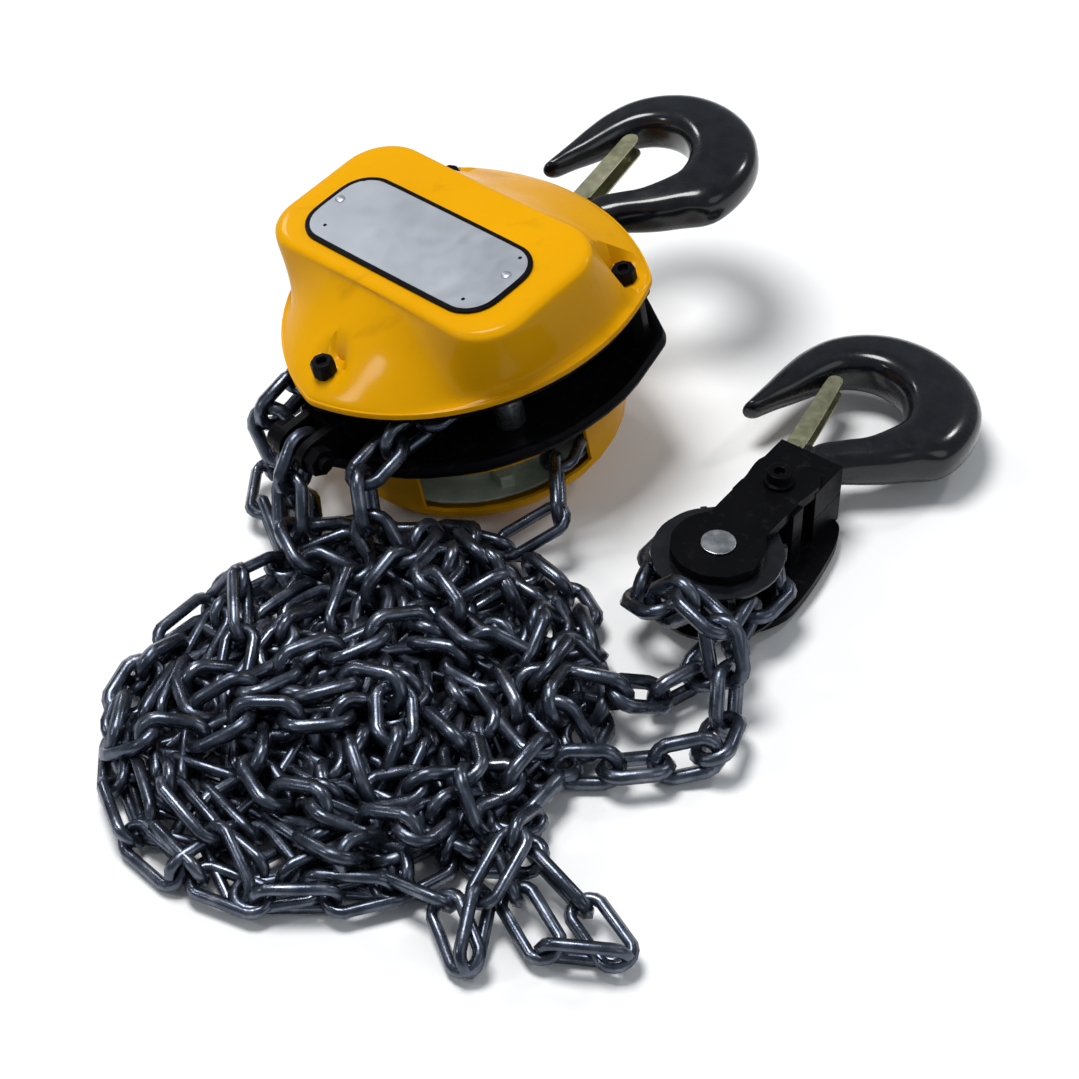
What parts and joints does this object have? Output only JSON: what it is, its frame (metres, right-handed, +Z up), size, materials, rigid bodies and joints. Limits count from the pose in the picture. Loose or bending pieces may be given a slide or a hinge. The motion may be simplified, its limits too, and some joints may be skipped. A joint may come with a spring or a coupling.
{
  "type": "hand chain hoist",
  "caption": "Manual chain hoist with a gear-cased body, swivelling top hook with latch, hook block on an idler wheel, and its load and hand chains piled beside it.",
  "frame": {"origin": "centre of the box around the hoist and the hook block without the chains, at the floor they lie on", "axes": "+Z up from the floor, +Y away from the viewer of the picture, +X to the picture's right"},
  "size_m": [0.331, 0.4084, 0.1184],
  "materials": {
    "yellow_enamel": "gloss enamel",
    "black_paint": "satin black paint",
    "forged_black": "blacked forging",
    "machined_steel": "turned",
    "cast_grey_green": "as cast, primed",
    "yellow_zinc": "yellow zinc plated",
    "plate_aluminium": "satin with dark edge",
    "brake_lining": "pressed lining",
    "oiled_chain_steel": "hardened and oiled"
  },
  "bodies": {
    "hoist_body": {"anchor_bolt": "black_paint", "anchor_nut": "black_paint", "block_bolt": "black_paint", "block_half_lower": "black_paint", "block_half_upper": "black_paint", "chain_anchor": "black_paint", "chain_heap": "oiled_chain_steel", "chain_stripper": "machined_steel", "gear_cover": "yellow_enamel", "gear_side_plate": "black_paint", "hand_chain_left": "oiled_chain_steel", "hand_chain_on_wheel": "oiled_chain_steel", "hand_chain_right": "oiled_chain_steel", "hand_side_plate": "black_paint", "hand_wheel_cover": "yellow_enamel", "heap_hand_chain": "oiled_chain_steel", "heap_load_chain": "oiled_chain_steel", "idler_axle": "machined_steel", "load_chain_anchored": "oiled_chain_steel", "load_chain_block_left": "oiled_chain_steel", "load_chain_block_right": "oiled_chain_steel", "load_chain_left": "oiled_chain_steel", "load_chain_on_idler": "oiled_chain_steel", "load_chain_on_sheave": "oiled_chain_steel", "load_chain_right": "oiled_chain_steel", "name_plate": "plate_aluminium", "pawl_pin_1": "machined_steel", "pawl_pin_2": "machined_steel", "ratchet_disc": "machined_steel", "sheave_bearing_gear_side": "machined_steel", "sheave_bearing_hand_side": "machined_steel", "stay_bolt_1": "black_paint", "stay_bolt_2": "black_paint", "stay_bolt_3": "black_paint", "top_pin": "machined_steel"},
    "hand_drive": {"hand_wheel": "cast_grey_green", "wheel_nut": "machined_steel", "drive_shaft": "machined_steel", "brake_hub": "machined_steel", "friction_disc_1": "brake_lining", "friction_disc_2": "brake_lining"},
    "counter_gear_1": {"intermediate_gear_1": "machined_steel"},
    "counter_gear_2": {"intermediate_gear_2": "machined_steel"},
    "lifting_wheel": {"load_sheave": "cast_grey_green", "load_gear": "machined_steel"},
    "idler": {"idler_sheave": "cast_grey_green"},
    "roller_1": {"guide_roller_1": "machined_steel"},
    "roller_2": {"guide_roller_2": "machined_steel"},
    "ratchet_pawl_1": {"pawl_1": "machined_steel"},
    "ratchet_pawl_2": {"pawl_2": "machined_steel"},
    "yoke": {"top_hook_yoke": "black_paint"},
    "upper_hook": {"top_hook": "forged_black", "top_hook_nut": "black_paint", "top_latch_rivet": "yellow_zinc"},
    "upper_latch": {"top_latch": "yellow_zinc"},
    "lower_hook": {"bottom_hook": "forged_black", "bottom_latch_rivet": "yellow_zinc"},
    "lower_latch": {"bottom_latch": "yellow_zinc"}
  },
  "joints": [
    {"name": "hand_wheel_spin", "type": "hinge", "parent": "hoist_body", "child": "hand_drive", "pos_m": [-0.07096, -0.00018, 0.07601], "axis": [-0.1648, -0.0523, 0.9849], "continuous": true, "deforming": ["hand_chain_right", "hand_chain_on_wheel", "hand_chain_left"]},
    {"name": "counter_gear_1_spin", "type": "hinge", "parent": "hoist_body", "child": "counter_gear_1", "pos_m": [-0.05195, -0.02063, 0.07811], "axis": [-0.1648, -0.0523, 0.9849], "continuous": true},
    {"name": "counter_gear_2_spin", "type": "hinge", "parent": "hoist_body", "child": "counter_gear_2", "pos_m": [-0.08997, 0.02027, 0.07392], "axis": [-0.1648, -0.0523, 0.9849], "continuous": true},
    {"name": "load_sheave_spin", "type": "hinge", "parent": "hoist_body", "child": "lifting_wheel", "pos_m": [-0.07096, -0.00018, 0.07601], "axis": [-0.1648, -0.0523, 0.9849], "continuous": true, "deforming": ["load_chain_right", "load_chain_on_sheave", "load_chain_left"]},
    {"name": "idler_spin", "type": "hinge", "parent": "hoist_body", "child": "idler", "pos_m": [0.03104, -0.10018, 0], "axis": [0, 0, 1], "continuous": true, "deforming": ["load_chain_block_right", "load_chain_on_idler", "load_chain_block_left"]},
    {"name": "guide_roller_1_spin", "type": "hinge", "parent": "hoist_body", "child": "roller_1", "pos_m": [-0.04983, -0.04527, 0.0606], "axis": [-0.1648, -0.0523, 0.9849], "continuous": true},
    {"name": "guide_roller_2_spin", "type": "hinge", "parent": "hoist_body", "child": "roller_2", "pos_m": [-0.11247, 0.02211, 0.0537], "axis": [-0.1648, -0.0523, 0.9849], "continuous": true},
    {"name": "pawl_1_lift", "type": "hinge", "parent": "hoist_body", "child": "ratchet_pawl_1", "pos_m": [-0.02437, 0.01925, 0.0486], "axis": [-0.1648, -0.0523, 0.9849], "range_deg": [-25, 0], "stiffness_Nm_per_rad": 0.03, "springref_deg": 14.32},
    {"name": "pawl_2_lift", "type": "hinge", "parent": "hoist_body", "child": "ratchet_pawl_2", "pos_m": [-0.10578, -0.01587, 0.03311], "axis": [-0.1648, -0.0523, 0.9849], "range_deg": [-25, 0], "stiffness_Nm_per_rad": 0.03, "springref_deg": 14.32},
    {"name": "yoke_swing", "type": "hinge", "parent": "hoist_body", "child": "yoke", "pos_m": [-0.03179, 0.03541, 0.06791], "axis": [-0.1648, -0.0523, 0.9849], "range_deg": [-42, 36]},
    {"name": "top_hook_swivel", "type": "hinge", "parent": "yoke", "child": "upper_hook", "pos_m": [-0.03179, 0.03541, 0.06791], "axis": [0.6726, 0.7244, 0.151], "continuous": true},
    {"name": "top_latch_open", "type": "hinge", "parent": "upper_hook", "child": "upper_latch", "pos_m": [-0.0207, 0.06593, 0.07139], "axis": [-0.1648, -0.0523, 0.9849], "range_deg": [-30, 0], "stiffness_Nm_per_rad": 0.04, "springref_deg": 17.19},
    {"name": "bottom_hook_swivel", "type": "hinge", "parent": "hoist_body", "child": "lower_hook", "pos_m": [0.03104, -0.10018, 0.0191], "axis": [0.5878, 0.809, 0], "continuous": true},
    {"name": "bottom_latch_open", "type": "hinge", "parent": "lower_hook", "child": "lower_latch", "pos_m": [0.0655, -0.02978, 0.0191], "axis": [0, 0, 1], "range_deg": [-36, 0], "stiffness_Nm_per_rad": 0.04, "springref_deg": 17.19}
  ],
  "couplings": [
    {"joint": "counter_gear_1_spin", "follows": "hand_wheel_spin", "ratio": -0.27273},
    {"joint": "counter_gear_2_spin", "follows": "hand_wheel_spin", "ratio": -0.27273},
    {"joint": "load_sheave_spin", "follows": "hand_wheel_spin", "ratio": 0.090909},
    {"joint": "idler_spin", "follows": "hand_wheel_spin", "ratio": -0.056818}
  ]
}
